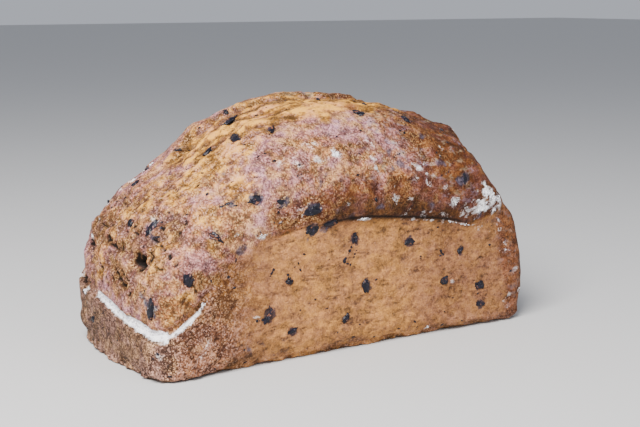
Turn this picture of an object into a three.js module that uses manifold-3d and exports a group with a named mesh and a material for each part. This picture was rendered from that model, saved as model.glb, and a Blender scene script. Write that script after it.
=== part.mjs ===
// A durum wheat loaf with pieces of black olive, baked in a tin: one solid of bread.
// Millimetres, +Z up. +X runs along the loaf, the front faces -Y, and the end where the
// crust has split faces -X. The solid is centred over the origin and rests flat on z = 0.
//
// The bread is two bodies grown into one. Below stands what the tin shaped, a rounded box
// with a soft foot. Above it lies the dough that rose out of the tin. Each is a function
// that is about the distance to its skin, negative inside the bread. A net of points on a
// box is drawn in along rays until it lies on the skin of the two together.

import Module from 'manifold-3d';
import * as THREE from 'three';
import { mergeVertices } from 'three/addons/utils/BufferGeometryUtils.js';

// ---- Driving dimensions ----

const LENGTH = 272;
const WIDTH = 134;
const HEIGHT = 151;

// The bread that the tin shaped
const TIN_LINE = 81; // greatest height at which the dough left the tin's wall
const WAIST = 2.5; // how far the long walls have sunk in at their middle
const RIGHT_LEAN = 8.6; // how far the right end leans in at 80 mm up
const RIGHT_LEAN_POWER = 2.1; // 1 is a straight lean, more keeps the end upright lower down
const CORNER_RADIUS = 19;
const BACK_CORNER_RADIUS = 29; // left back corner, which the dough never filled
const RIGHT_CORNER_RADIUS = 14;
const FOOT_RADIUS = 12;
const RIGHT_FOOT_RADIUS = 6;
const FRONT_CORNER_FOOT = 5.5; // left front corner, where the foot is nearly sharp
const BACK_CORNER_FOOT = 19; // left back corner
const SHOULDER_RADIUS = 14; // top of the wall at the right end

// The split in the crust round the left end
const SPLIT_LOW = 22; // its lowest point, at the left front corner
const SPLIT_SLOPE = 0.14; // how it climbs towards the back, in mm for each mm
const SPLIT_GAP = 6; // height of the open gap
const SPLIT_DEPTH = 3;

// The dough that rose out of the tin
const CREST_Y = 8; // the crest runs a little behind the middle
const WIDEST_Z = 88; // height at which the dough is widest
const LEFT_WIDEST_Z = 46; // the same at the left end, where the dough sags
const OVERHANG = 3.5; // how far the roll hangs out over the front wall
const BACK_OVERHANG = 2;
const TUCK = 26; // depth over which the roll curls back in below its widest line
const SECTION_POWER = 2.2; // 2 is an ellipse, more is squarer
const LEFT_SECTION_POWER = 2.6; // the same at the left end
const LEFT_END_RADIUS = 21;
const RIGHT_END_RADIUS = 20;
const RIGHT_END_SLOPE = 0.35; // how far the right end leans in above the tin, in mm for each mm
const RIGHT_LEAN_FROM = 80; // height at which that lean starts

// The crest seen from the front: [x as a share of the length, height as a share of HEIGHT]
const CREST = [
  [-0.5, 0.41],
  [-0.467, 0.543],
  [-0.412, 0.629],
  [-0.338, 0.728],
  [-0.254, 0.854],
  [-0.11, 0.974],
  [0.018, 1],
  [0.154, 0.974],
  [0.312, 0.9],
  [0.4, 0.9],
  [0.5, 0.88],
];

// The top of the tin-shaped wall, highest near the middle: [mm from the left end, height in mm]
const WALL_TOP = [
  [7, SPLIT_LOW],
  [35, 44],
  [45, 56],
  [58, 66.5],
  [75, 73],
  [100, 78],
  [130, TIN_LINE],
  [166, 78],
  [203, 73],
  [228, 68],
  [245, 72],
  [262, 79],
];

// The torn band along the top, with a ragged ear of crust standing behind it
const TEAR = { x: -8, halfLength: 88, front: -38, back: 12, depth: 4, step: 5 };

// Hollows in the crust, and knobs where the depth is negative: [x, y, z, radius, depth]
const HOLLOWS = [
  [-131, -34, 63, 8, 5.5], // burst bubble over the split
  [-131, 2, 68, 8, 3.5],
  [-130, 38, 59, 8, 3.5],
  [-90, -68, 51, 15, 3], // scoop over the front arm of the split
  [-134, 46, 16, 20, 2],
  [-76, 38, 118, 10, 3],
  [-64, 31, 130, 7, -2],
  [48, 19, 145, 11, -3],
  [82, -12, 136, 8, -5.5],
  [98, -27, 129, 12, -10], // the right shoulder
  [108, -51, 106, 14, 4],
  [133, -52, 30, 24, -2.5],
];

// Pieces of olive that show largest: [x, y, z on or near the skin, half length, turn]
const LARGE_OLIVES = [
  [-63, -65, 30, 5, 1.1],
  [-49, -65, 49, 3, 0.4],
  [-3, -65, 69, 4, 1.4],
  [6, -65, 39, 4, 1.5],
  [38, -65, 62, 4, 0.1],
  [79, -65, 52, 3.5, 0.6],
  [96, -65, 27, 4, 2.4],
  [97, -65, 14, 3.5, 2.9],
  [67, -65, 34, 3.5, 0.3],
  [-9, -65, 20, 3, 0.8],
  [-47, -65, 18, 3.5, 0.2],
  [-33, -66, 78, 5, 0.2],
  [-22, -66, 80, 4, 0.3],
  [-54, -4, 138, 5, 0.1],
  [-62, -24, 130, 5, 1.2],
  [-43, -36, 134, 3.5, 0.9],
  [18, -37, 141, 4, 2.6],
  [-35, -68, 90, 4.5, 0.2],
  [-53, -65, 95, 4.5, 2.9],
  [-68, -61, 98, 4, 0.4],
  [-119, -31, 82, 5, 0.2],
  [-111, -62, 58, 4.5, 1.1],
  [-129, -48, 39, 5, 1.5],
  [78, -69, 99, 4, 1.8],
];
const SMALL_OLIVES = 36;
const SMALL_OLIVE_SIZES = [3.6, 2]; // half lengths, from the first to the last
const OLIVE_SEED = 20;

// The net: cells along, across and up the loaf, and how many rows lie below the tin line
const NET = { along: 44, across: 20, up: 22, wallRows: 7 };
const LINE_CLEARANCE = 0.7; // the two rows beside the tin line keep this distance to it
const CORE_INSET = 60; // the rays start on a core this much shorter than the loaf, each end
const CORE_LOW = 18;
const CORE_HIGH = 62;

// ---- Curves and joins ----

const clamp = THREE.MathUtils.clamp;
const ease = (from, to, value) => {
  const t = clamp((value - from) / (to - from), 0, 1);
  return t * t * (3 - 2 * t);
};
const mix = (a, b, share) => a + (b - a) * share;

// The part that is inside both a and b, with its edge rounded.
function roundedBoth(a, b, radius) {
  const past = Math.hypot(Math.max(a + radius, 0), Math.max(b + radius, 0));
  return Math.min(Math.max(a, b), -radius) + past;
}

// The part that is inside a or b, with the crease between them filled.
function roundedEither(a, b, radius) {
  const past = Math.hypot(Math.max(radius - a, 0), Math.max(radius - b, 0));
  return Math.max(Math.min(a, b), radius) - past;
}

// A smooth curve through [place, value] stations, level outside them.
function curveThrough(stations) {
  const last = stations.length - 1;
  const gaps = stations.slice(1).map(([place], i) => place - stations[i][0]);
  const rises = stations.slice(1).map(([, value], i) => (value - stations[i][1]) / gaps[i]);
  const slopes = stations.map((_, i) => {
    if (i === 0) return rises[0];
    if (i === last) return rises[last - 1];
    return (rises[i - 1] * gaps[i] + rises[i] * gaps[i - 1]) / (gaps[i - 1] + gaps[i]);
  });
  return (place) => {
    const p = clamp(place, stations[0][0], stations[last][0]);
    let i = 0;
    while (i < last - 1 && p > stations[i + 1][0]) i += 1;
    const t = (p - stations[i][0]) / gaps[i];
    const [a, b] = [stations[i][1], stations[i + 1][1]];
    return (2 * t ** 3 - 3 * t ** 2 + 1) * a
      + (t ** 3 - 2 * t ** 2 + t) * gaps[i] * slopes[i]
      + (3 * t ** 2 - 2 * t ** 3) * b
      + (t ** 3 - t ** 2) * gaps[i] * slopes[i + 1];
  };
}

const crestShare = curveThrough(CREST);
const wallTop = curveThrough(WALL_TOP);

// ---- The bread that the tin shaped ----

const rightEnd = (z) => LENGTH / 2 - RIGHT_LEAN * (Math.max(z, 0) / 80) ** RIGHT_LEAN_POWER;

// The tin's outline at height z, without the foot.
function tinOutline(x, y, z) {
  const middle = (rightEnd(z) - LENGTH / 2) / 2;
  const halfLength = (rightEnd(z) + LENGTH / 2) / 2;
  const bow = 1 - Math.min(Math.abs(x) / (LENGTH / 2), 1) ** 3;
  const halfWidth = WIDTH / 2 - WAIST * bow * clamp(1.2 - z / 160, 0, 1);
  const leftRadius = mix(CORNER_RADIUS, BACK_CORNER_RADIUS, ease(-40, 40, y));
  const radius = x > 0 ? RIGHT_CORNER_RADIUS : leftRadius;
  return roundedBoth(Math.abs(x - middle) - halfLength, Math.abs(y) - halfWidth, radius);
}

// The height of the wall's top edge. It falls to the split at the left end, which climbs
// towards the back.
function tinLine(x, y) {
  const climb = SPLIT_SLOPE * Math.max(y + WIDTH / 2 - 8, 0) * (1 - ease(-60, 0, x));
  return Math.min(wallTop(x + LENGTH / 2) + climb, TIN_LINE);
}

function tinBread(x, y, z) {
  const atLeft = 1 - ease(5 - LENGTH / 2, 60 - LENGTH / 2, x);
  const atFront = 1 - ease(15 - WIDTH / 2, 10, y);
  const cornerFoot = mix(BACK_CORNER_FOOT, FRONT_CORNER_FOOT, atFront);
  const wallFoot = mix(FOOT_RADIUS, RIGHT_FOOT_RADIUS, ease(30, 100, x));
  const foot = mix(wallFoot, cornerFoot, atLeft);
  const box = roundedBoth(tinOutline(x, y, z), -z, foot);
  const shoulder = 0.5 + SHOULDER_RADIUS * ease(60, 110, x);
  return roundedBoth(box, z - tinLine(x, y), shoulder);
}

// ---- The dough that rose out of the tin ----

function risenDough(x, y, z) {
  const crest = HEIGHT * crestShare(x / LENGTH);
  const sag = ease(50, 125, -x);
  const widest = mix(WIDEST_Z, LEFT_WIDEST_Z, sag);
  const roll = ease(-60, -10, x) * (1 - ease(85, 125, x));
  const overhang = y < CREST_Y ? OVERHANG : BACK_OVERHANG;
  const halfWidth = WIDTH / 2 - 1 + (overhang + 1) * roll;
  const reach = y < CREST_Y ? halfWidth + CREST_Y : halfWidth - CREST_Y;
  const side = Math.abs(y - CREST_Y) / reach;
  const above = Math.max(crest - widest, 10);
  const below = mix(TUCK, 130, ease(45, 100, -x)) + 34 * ease(20, 100, x);
  const level = z > widest ? (z - widest) / above : (widest - z) / below;
  const power = mix(SECTION_POWER, LEFT_SECTION_POWER, ease(80, 115, -x));
  const radial = (side ** power + level ** power) ** (1 / power);
  const section = (radial - 1) * Math.min(WIDTH / 2, above + 15);
  const leftEnd = 0.5 - LENGTH / 2 - x;
  const leftRadius = mix(LEFT_END_RADIUS, BACK_CORNER_RADIUS + 4, ease(-20, 40, y));
  const closedLeft = roundedBoth(section, leftEnd, leftRadius);
  const lean = RIGHT_END_SLOPE * Math.max(z - RIGHT_LEAN_FROM, 0);
  const steepness = Math.hypot(1, RIGHT_END_SLOPE * ease(70, 90, z));
  return roundedBoth(closedLeft, (x - rightEnd(z) + 3 + lean) / steepness, RIGHT_END_RADIUS);
}

// The open gap of the split lies just above the tin line, round the left end.
function splitGap(x, y, z) {
  const aboveLine = z - tinLine(x, y);
  const open = ease(-1, 1, aboveLine) * (1 - ease(SPLIT_GAP - 2, SPLIT_GAP + 1.5, aboveLine));
  return SPLIT_DEPTH * open * ease(96, 106, -x);
}

// ---- Relief ----

// The torn band deepens from its front edge to the ragged ear behind it.
function tear(x, y) {
  const along = (x - TEAR.x) / TEAR.halfLength;
  const open = Math.max(1 - along * along, 0);
  const ragged = 2.5 * Math.sin(x / 6.1) + 2 * Math.sin(x / 2.9 + 1);
  const back = TEAR.back + ragged;
  const ramp = ease(back + (TEAR.front - TEAR.back) * Math.sqrt(open) - 1, back, y);
  return TEAR.depth * Math.min(2 * open, 1) * ramp * (1 - ease(back, back + TEAR.step, y));
}

function hollows(x, y, z) {
  let depth = 0;
  for (const [cx, cy, cz, radius, deep] of HOLLOWS) {
    const far = ((x - cx) ** 2 + (y - cy) ** 2 + (z - cz) ** 2) / radius ** 2;
    depth += deep * Math.exp(-far);
  }
  return depth;
}

// Slow swells of the crust, stronger where the dough rose free of the tin.
function swells(x, y, z) {
  const wide = Math.sin(x / 17 + 1.3 * Math.sin(z / 23 + y / 31)) * Math.sin(y / 13 + z / 19 + 0.7);
  const fine = Math.sin(x / 8.3 + y / 11 + 2) * Math.sin(z / 7.1 - x / 13);
  return (0.9 * wide + 0.45 * fine) * mix(0.4, 1, ease(-10, 15, z - tinLine(x, y)));
}

function loafSkin(x, y, z) {
  const grownOn = ease(35, 65, -x) - ease(96, 104, -x); // here the dough runs on from the wall
  const crease = 1.2 - grownOn + 6 * ease(60, 110, x);
  const dough = risenDough(x, y, z) + splitGap(x, y, z);
  const bread = roundedEither(tinBread(x, y, z), dough, crease);
  const relief = z > 12 ? tear(x, y) * ease(95, 105, z) + hollows(x, y, z) + swells(x, y, z) : 0;
  return Math.max(bread + relief * ease(12, 22, z), -z);
}

// ---- The net drawn onto the skin ----

// The point where a function turns positive, on the way from start along step.
function firstSkin(inside, start, step) {
  let near = 0;
  let far = 1.6;
  for (let i = 0; i < 26; i += 1) {
    const mid = (near + far) / 2;
    const p = start.clone().addScaledVector(step, mid);
    if (inside(p.x, p.y, p.z) < 0) near = mid;
    else far = mid;
  }
  return start.clone().addScaledVector(step, (near + far) / 2);
}

// A point of the skin towards (across, along) on the box and height z.
function skinTowards(u, v, z) {
  const core = new THREE.Vector3(u * (LENGTH / 2 - CORE_INSET), 0, clamp(z, CORE_LOW, CORE_HIGH));
  const target = new THREE.Vector3(u * LENGTH / 2, v * WIDTH / 2, z);
  return firstSkin(loafSkin, core, target.sub(core));
}

// The height of the tin line on the wall that faces (u, v) on the box.
function lineTowards(u, v) {
  const core = new THREE.Vector3(u * (LENGTH / 2 - CORE_INSET), 0, 40);
  const target = new THREE.Vector3(u * LENGTH / 2, v * WIDTH / 2, 40);
  const wall = firstSkin(tinOutline, core, target.sub(core));
  return tinLine(wall.x, wall.y);
}

// The height at which a row of the net meets the box. Row wallRows lies just under the tin
// line and the next one just above it, so that both edges come out clean.
function rowHeight(line, row) {
  if (row <= NET.wallRows) return (line - LINE_CLEARANCE) * (row / NET.wallRows) ** 1.3;
  const share = (row - NET.wallRows - 1) / (NET.up - NET.wallRows - 1);
  return mix(line + LINE_CLEARANCE, HEIGHT, share);
}

function loafGeometry() {
  const { along, across, up } = NET;
  const points = [];
  const names = new Map();
  const cells = [];
  const corner = (i, j, k) => {
    const name = `${i} ${j} ${k}`;
    if (!names.has(name)) {
      const [u, v] = [2 * i / along - 1, 2 * j / across - 1];
      const height = k === up ? HEIGHT : rowHeight(lineTowards(u, v), k);
      names.set(name, points.push(skinTowards(u, v, height)) - 1);
    }
    return names.get(name);
  };

  for (let i = 0; i < along; i += 1) {
    for (let j = 0; j < across; j += 1) {
      cells.push([corner(i, j, up), corner(i + 1, j, up), corner(i + 1, j + 1, up), corner(i, j + 1, up)]);
    }
  }

  // The rim of the net, counter-clockwise from above, and the four walls that hang from it
  const rim = [];
  for (let i = 0; i < along; i += 1) rim.push([i, 0]);
  for (let j = 0; j < across; j += 1) rim.push([along, j]);
  for (let i = along; i > 0; i -= 1) rim.push([i, across]);
  for (let j = across; j > 0; j -= 1) rim.push([0, j]);
  const next = (n) => rim[(n + 1) % rim.length];
  rim.forEach((here, n) => {
    for (let k = 0; k < up; k += 1) {
      cells.push([corner(...here, k), corner(...next(n), k), corner(...next(n), k + 1), corner(...here, k + 1)]);
    }
  });

  // The underside: a ring under the foot and a flat fan
  const floor = rim.map(([i, j]) => {
    const [u, v] = [2 * i / along - 1, 2 * j / across - 1];
    return points.push(new THREE.Vector3(0.88 * u * LENGTH / 2, 0.8 * v * WIDTH / 2, 0)) - 1;
  });
  const centre = points.push(new THREE.Vector3(0, 0, 0)) - 1;
  const triangles = [];
  rim.forEach((here, n) => {
    const m = (n + 1) % rim.length;
    cells.push([floor[n], floor[m], corner(...next(n), 0), corner(...here, 0)]);
    triangles.push(floor[m], floor[n], centre);
  });

  // Each cell is cut along its shorter diagonal
  for (const [a, b, c, d] of cells) {
    const across1 = points[a].distanceTo(points[c]);
    const across2 = points[b].distanceTo(points[d]);
    if (across1 < across2) triangles.push(a, b, c, a, c, d);
    else triangles.push(a, b, d, b, c, d);
  }

  const geometry = new THREE.BufferGeometry();
  const flat = points.flatMap((p) => p.toArray());
  geometry.setAttribute('position', new THREE.Float32BufferAttribute(flat, 3));
  geometry.setIndex(triangles);
  return geometry;
}

// ---- Pieces of olive ----

// A repeatable series of numbers between 0 and 1.
function dice(seed) {
  let state = seed;
  return () => {
    state = (state * 16807) % 2147483647;
    return state / 2147483647;
  };
}

function skinNormal(p) {
  const step = 0.4;
  const slope = (dx, dy, dz) => loafSkin(p.x + dx, p.y + dy, p.z + dz) - loafSkin(p.x - dx, p.y - dy, p.z - dz);
  return new THREE.Vector3(slope(step, 0, 0), slope(0, step, 0), slope(0, 0, step)).normalize();
}

// A flat lump, sunk by half into the skin at p and turned about the skin's normal.
function oliveGeometry(p, halfLength, turn, roll) {
  const geometry = new THREE.OctahedronGeometry(1, 1);
  geometry.deleteAttribute('normal');
  geometry.deleteAttribute('uv');
  const merged = mergeVertices(geometry, 1e-3);
  const position = merged.getAttribute('position');
  for (let i = 0; i < position.count; i += 1) {
    const stretch = mix(0.8, 1.2, roll());
    position.setXYZ(i, position.getX(i) * stretch, position.getY(i) * stretch, position.getZ(i));
  }
  const normal = skinNormal(p);
  const along = new THREE.Vector3(1, 0, 0).cross(normal).cross(normal).negate().normalize();
  const aside = normal.clone().cross(along);
  const size = new THREE.Vector3(halfLength, halfLength * 0.6, Math.min(halfLength * 0.5, 1.6));
  const place = new THREE.Matrix4().makeBasis(along, aside, normal).setPosition(p);
  place.multiply(new THREE.Matrix4().makeRotationZ(turn));
  place.scale(size);
  merged.applyMatrix4(place);
  return merged;
}

// The large pieces lie where they show, and the small ones are strewn over the whole crust,
// each clear of those before it.
function olives() {
  const roll = dice(OLIVE_SEED);
  const placed = [];
  const pieces = [];
  const add = (p, halfLength, turn) => {
    placed.push({ p, halfLength });
    pieces.push(oliveGeometry(p, halfLength, turn, roll));
  };
  for (const [x, y, z, halfLength, turn] of LARGE_OLIVES) {
    add(skinTowards(x / (LENGTH / 2), y / (WIDTH / 2), z), halfLength, turn);
  }
  while (placed.length < LARGE_OLIVES.length + SMALL_OLIVES) {
    const share = (placed.length - LARGE_OLIVES.length) / SMALL_OLIVES;
    const halfLength = mix(...SMALL_OLIVE_SIZES, share);
    const angle = roll() * 2 * Math.PI;
    const reach = 1 / Math.max(Math.abs(Math.cos(angle)), Math.abs(Math.sin(angle)));
    const inward = Math.min(1, 1.6 * roll());
    const z = inward < 1 ? HEIGHT : mix(10, HEIGHT, roll());
    const p = skinTowards(Math.cos(angle) * reach * inward, Math.sin(angle) * reach * inward, z);
    const clear = placed.every((o) => o.p.distanceTo(p) > 2 * (o.halfLength + halfLength));
    if (clear) add(p, halfLength, roll() * Math.PI);
  }
  return pieces;
}

// ---- The finished loaf ----

const wasm = await Module();
wasm.setup();

function solidOf(geometry) {
  return new wasm.Manifold(new wasm.Mesh({
    numProp: 3,
    vertProperties: Float32Array.from(geometry.getAttribute('position').array),
    triVerts: Uint32Array.from(geometry.getIndex().array),
  }));
}

function geometryOf(solid) {
  const mesh = solid.getMesh();
  const geometry = new THREE.BufferGeometry();
  geometry.setAttribute('position', new THREE.BufferAttribute(mesh.vertProperties, 3));
  geometry.setIndex(new THREE.BufferAttribute(mesh.triVerts, 1));
  return geometry;
}

let bread = solidOf(loafGeometry());
for (const olive of olives()) bread = bread.add(solidOf(olive));

const breadGeometry = geometryOf(bread);
breadGeometry.computeBoundingBox();
const { min, max } = breadGeometry.boundingBox;
breadGeometry.translate(-(min.x + max.x) / 2, -(min.y + max.y) / 2, -min.z);
breadGeometry.computeVertexNormals();

const crust = new THREE.MeshStandardMaterial({ color: 0xb5803f, roughness: 0.85, metalness: 0 });
const loaf = new THREE.Mesh(breadGeometry, crust);
loaf.name = 'loaf';

const part = new THREE.Group();
part.add(loaf);

export default part;
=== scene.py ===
# %% [markdown]
# # A durum wheat loaf with black olives
#
# This loaf was baked in a tin and rose well above it, so it has straight walls below, a fat
# roll of dough above, and a crust that split round one end. It is modelled as arrays of
# points, because bread has no edges to extrude: each point is drawn onto the crust and then
# moved a little for every wrinkle.

# %% The frame
import math

import bpy
import numpy as np
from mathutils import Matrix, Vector


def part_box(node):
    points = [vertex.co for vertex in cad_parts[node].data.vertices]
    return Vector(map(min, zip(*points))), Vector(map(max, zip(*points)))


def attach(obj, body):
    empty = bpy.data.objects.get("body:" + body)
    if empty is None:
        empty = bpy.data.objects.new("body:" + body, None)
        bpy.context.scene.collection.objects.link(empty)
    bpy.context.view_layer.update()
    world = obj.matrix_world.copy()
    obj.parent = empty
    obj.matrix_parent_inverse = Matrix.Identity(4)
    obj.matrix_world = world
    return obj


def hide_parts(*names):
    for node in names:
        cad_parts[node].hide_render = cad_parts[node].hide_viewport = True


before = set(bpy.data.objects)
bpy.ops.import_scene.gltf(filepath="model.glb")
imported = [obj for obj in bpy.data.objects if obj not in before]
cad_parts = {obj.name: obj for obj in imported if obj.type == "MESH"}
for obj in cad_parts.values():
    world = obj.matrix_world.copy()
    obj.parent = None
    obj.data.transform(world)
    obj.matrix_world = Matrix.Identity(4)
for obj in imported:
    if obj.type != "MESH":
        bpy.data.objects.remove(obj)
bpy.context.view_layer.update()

MM = 0.001
loaf_low, loaf_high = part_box("loaf")
print("the loaf's box in mm:", [round(v / MM, 1) for v in (*loaf_low, *loaf_high)])

# %% [markdown]
# ## Sizes
#
# The sizes that shape the solid loaf shape the fine one too, in millimetres. The loaf is
# drawn in its own place, and `SHIFT` then puts its box over the origin.

# %% The loaf's sizes
LENGTH, WIDTH, HEIGHT = 272.0, 134.0, 151.0
TIN_LINE = 81.0
WAIST = 2.5
RIGHT_LEAN, RIGHT_LEAN_POWER = 8.6, 2.1
CORNER_RADIUS, BACK_CORNER_RADIUS, RIGHT_CORNER_RADIUS = 19.0, 29.0, 14.0
FOOT_RADIUS, RIGHT_FOOT_RADIUS = 12.0, 6.0
FRONT_CORNER_FOOT, BACK_CORNER_FOOT = 5.5, 19.0
SHOULDER_RADIUS = 14.0
SPLIT_LOW, SPLIT_SLOPE, SPLIT_GAP, SPLIT_DEPTH = 22.0, 0.14, 6.0, 3.0
CREST_Y, WIDEST_Z, LEFT_WIDEST_Z = 8.0, 88.0, 46.0
OVERHANG, BACK_OVERHANG, TUCK = 3.5, 2.0, 26.0
SECTION_POWER, LEFT_SECTION_POWER = 2.2, 2.6
LEFT_END_RADIUS, RIGHT_END_RADIUS, RIGHT_END_SLOPE = 21.0, 20.0, 0.35
SHIFT = np.array([-0.46, 0.93, 0.0])

# The crest: (x as a share of the length, height as a share of HEIGHT)
CREST = [
    (-0.5, 0.41), (-0.467, 0.543), (-0.412, 0.629), (-0.338, 0.728), (-0.254, 0.854),
    (-0.11, 0.974), (0.018, 1), (0.154, 0.974), (0.312, 0.9), (0.4, 0.9), (0.5, 0.88),
]
# The top of the tin-shaped wall: (mm from the left end, height in mm)
WALL_TOP = [
    (7, SPLIT_LOW), (35, 44), (45, 56), (58, 66.5), (75, 73), (100, 78), (130, TIN_LINE),
    (166, 78), (203, 73), (228, 68), (245, 72), (262, 79),
]
# The torn band along the top
TEAR_X, TEAR_HALF, TEAR_FRONT, TEAR_BACK, TEAR_DEPTH, TEAR_STEP = -8, 88, -38, 12, 4, 5
TEAR_Z = (95, 105)  # the band fades in between these heights
# Hollows, and knobs where the depth is negative: (x, y, z, radius, depth)
HOLLOWS = [
    (-131, -34, 63, 8, 5.5), (-131, 2, 68, 8, 3.5), (-130, 38, 59, 8, 3.5),
    (-90, -68, 51, 15, 3), (-134, 46, 16, 20, 2), (-76, 38, 118, 10, 3),
    (-64, 31, 130, 7, -2), (48, 19, 145, 11, -3), (82, -12, 136, 8, -5.5),
    (98, -27, 129, 12, -10), (108, -51, 106, 14, 4), (133, -52, 30, 24, -2.5),
]

# %% [markdown]
# ## The camera
#
# The camera stands low, off the loaf's front left corner. It comes first, because some
# marks are placed by where a pixel of its picture falls on the crust.

# %% Camera
PICTURE = (640, 427)
AZIMUTH, ELEVATION = math.radians(-33.2), math.radians(10.3)
DISTANCE, FOCAL = 823.0, 1200.0  # mm, and pixels
AIM = np.array([37.2, 34.6, 64.9])

back = np.array([
    math.sin(AZIMUTH) * math.cos(ELEVATION),
    -math.cos(AZIMUTH) * math.cos(ELEVATION),
    math.sin(ELEVATION),
])
right = np.array([math.cos(AZIMUTH), math.sin(AZIMUTH), 0.0])
above = np.cross(back, right)
eye = AIM + back * DISTANCE


def aimed(name, data, place, direction):
    """An object at a place in mm that looks along a direction."""
    made = bpy.data.objects.new(name, data)
    made.location = Vector(place) * MM
    made.rotation_mode = "QUATERNION"
    made.rotation_quaternion = Vector(direction).to_track_quat("-Z", "Y")
    bpy.context.collection.objects.link(made)
    return made


lens = bpy.data.cameras.new("camera")
lens.sensor_width = 36
lens.lens = FOCAL / PICTURE[0] * lens.sensor_width
bpy.context.scene.camera = aimed("camera", lens, eye + SHIFT, -back)
print("lens in mm:", round(lens.lens, 1))

# %% [markdown]
# ## Curves and joins
#
# Bread is built from fields: functions that give about the distance to the crust and are
# negative inside. Two fields join in a rounded edge or a filled crease, so dough looks soft.

# %% Curves and joins
def ease(start, end, value):
    """0 at start, 1 at end, smooth between and level beyond. Either may be the larger."""
    t = np.clip((value - start) / (end - start), 0, 1)
    return t * t * (3 - 2 * t)


def mix(a, b, share):
    return a + (b - a) * share


def bell(value):
    """1 at 0, and down to 0.4 at 1 and -1."""
    return np.exp(-(value**2))


def rounded_both(a, b, radius):
    past = np.hypot(np.maximum(a + radius, 0), np.maximum(b + radius, 0))
    return np.minimum(np.maximum(a, b), -radius) + past


def rounded_either(a, b, radius):
    past = np.hypot(np.maximum(radius - a, 0), np.maximum(radius - b, 0))
    return np.maximum(np.minimum(a, b), radius) - past


def curve_through(stations):
    """A smooth curve through (place, value) stations, level outside them."""
    place, value = np.array(stations, float).T
    gap = np.diff(place)
    rise = np.diff(value) / gap
    inner = (rise[:-1] * gap[1:] + rise[1:] * gap[:-1]) / (gap[1:] + gap[:-1])
    slope = np.concatenate([rise[:1], inner, rise[-1:]])

    def curve(p):
        p = np.clip(p, place[0], place[-1])
        i = np.clip(np.searchsorted(place, p) - 1, 0, len(gap) - 1)
        t = (p - place[i]) / gap[i]
        ends = (2 * t**3 - 3 * t**2 + 1) * value[i] + (3 * t**2 - 2 * t**3) * value[i + 1]
        starts = (t**3 - 2 * t**2 + t) * slope[i] + (t**3 - t**2) * slope[i + 1]
        return ends + gap[i] * starts

    return curve


crest_share = curve_through(CREST)
wall_top = curve_through(WALL_TOP)

# %% [markdown]
# ## The bread that the tin shaped
#
# Below the tin line the loaf copies the tin: a box with rounded corners, walls that sink in
# a little as the bread cools, and a soft foot. The line falls to the split at the left end.

# %% Tin-shaped bread
def right_end(z):
    return LENGTH / 2 - RIGHT_LEAN * (np.maximum(z, 0) / 80) ** RIGHT_LEAN_POWER


def tin_outline(x, y, z):
    middle = (right_end(z) - LENGTH / 2) / 2
    half_length = (right_end(z) + LENGTH / 2) / 2
    bow = 1 - np.minimum(np.abs(x) / (LENGTH / 2), 1) ** 3
    half_width = WIDTH / 2 - WAIST * bow * np.clip(1.2 - z / 160, 0, 1)
    left_radius = mix(CORNER_RADIUS, BACK_CORNER_RADIUS, ease(-40, 40, y))
    radius = np.where(x > 0, RIGHT_CORNER_RADIUS, left_radius)
    return rounded_both(np.abs(x - middle) - half_length, np.abs(y) - half_width, radius)


def tin_line(x, y):
    climb = SPLIT_SLOPE * np.maximum(y + WIDTH / 2 - 8, 0) * ease(0, -60, x)
    return np.minimum(wall_top(x + LENGTH / 2) + climb, TIN_LINE)


def tin_bread(x, y, z):
    at_left = ease(60 - LENGTH / 2, 5 - LENGTH / 2, x)
    at_front = ease(10, 15 - WIDTH / 2, y)
    corner_foot = mix(BACK_CORNER_FOOT, FRONT_CORNER_FOOT, at_front)
    wall_foot = mix(FOOT_RADIUS, RIGHT_FOOT_RADIUS, ease(30, 100, x))
    foot = mix(wall_foot, corner_foot, at_left)
    box = rounded_both(tin_outline(x, y, z), -z, foot)
    shoulder = 0.5 + SHOULDER_RADIUS * ease(60, 110, x)
    return rounded_both(box, z - tin_line(x, y), shoulder)


# %% [markdown]
# ## The dough that rose out of the tin
#
# A flattened oval section follows the crest from end to end. Along the front it bulges past
# the wall and curls back in, which leaves the dark crease. At the left it sags over the end.

# %% Risen dough
def risen_dough(x, y, z):
    crest = HEIGHT * crest_share(x / LENGTH)
    sag = ease(50, 125, -x)
    widest = mix(WIDEST_Z, LEFT_WIDEST_Z, sag)
    roll = ease(-60, -10, x) * ease(125, 85, x)
    overhang = np.where(y < CREST_Y, OVERHANG, BACK_OVERHANG)
    half_width = WIDTH / 2 - 1 + (overhang + 1) * roll
    reach = np.where(y < CREST_Y, half_width + CREST_Y, half_width - CREST_Y)
    side = np.abs(y - CREST_Y) / reach
    top = np.maximum(crest - widest, 10)
    below = mix(TUCK, 130, ease(45, 100, -x)) + 34 * ease(20, 100, x)
    level = np.where(z > widest, (z - widest) / top, (widest - z) / below)
    power = mix(SECTION_POWER, LEFT_SECTION_POWER, ease(80, 115, -x))
    radial = (side**power + level**power) ** (1 / power)
    section = (radial - 1) * np.minimum(WIDTH / 2, top + 15)
    left_radius = mix(LEFT_END_RADIUS, BACK_CORNER_RADIUS + 4, ease(-20, 40, y))
    closed_left = rounded_both(section, 0.5 - LENGTH / 2 - x, left_radius)
    lean = RIGHT_END_SLOPE * np.maximum(z - 80, 0)
    steepness = np.hypot(1, RIGHT_END_SLOPE * ease(70, 90, z))
    end = (x - right_end(z) + 3 + lean) / steepness
    return rounded_both(closed_left, end, RIGHT_END_RADIUS)


def split_gap(x, y, z):
    over = z - tin_line(x, y)
    gap = ease(-1, 1, over) * ease(SPLIT_GAP + 1.5, SPLIT_GAP - 2, over)
    return SPLIT_DEPTH * gap * ease(96, 106, -x)


# %% [markdown]
# ## Tears, hollows and swells
#
# The large relief is in the field too: the band where the dough tore open along the top,
# a few hollows, and slow swells that keep the crown from looking turned on a lathe.

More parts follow.
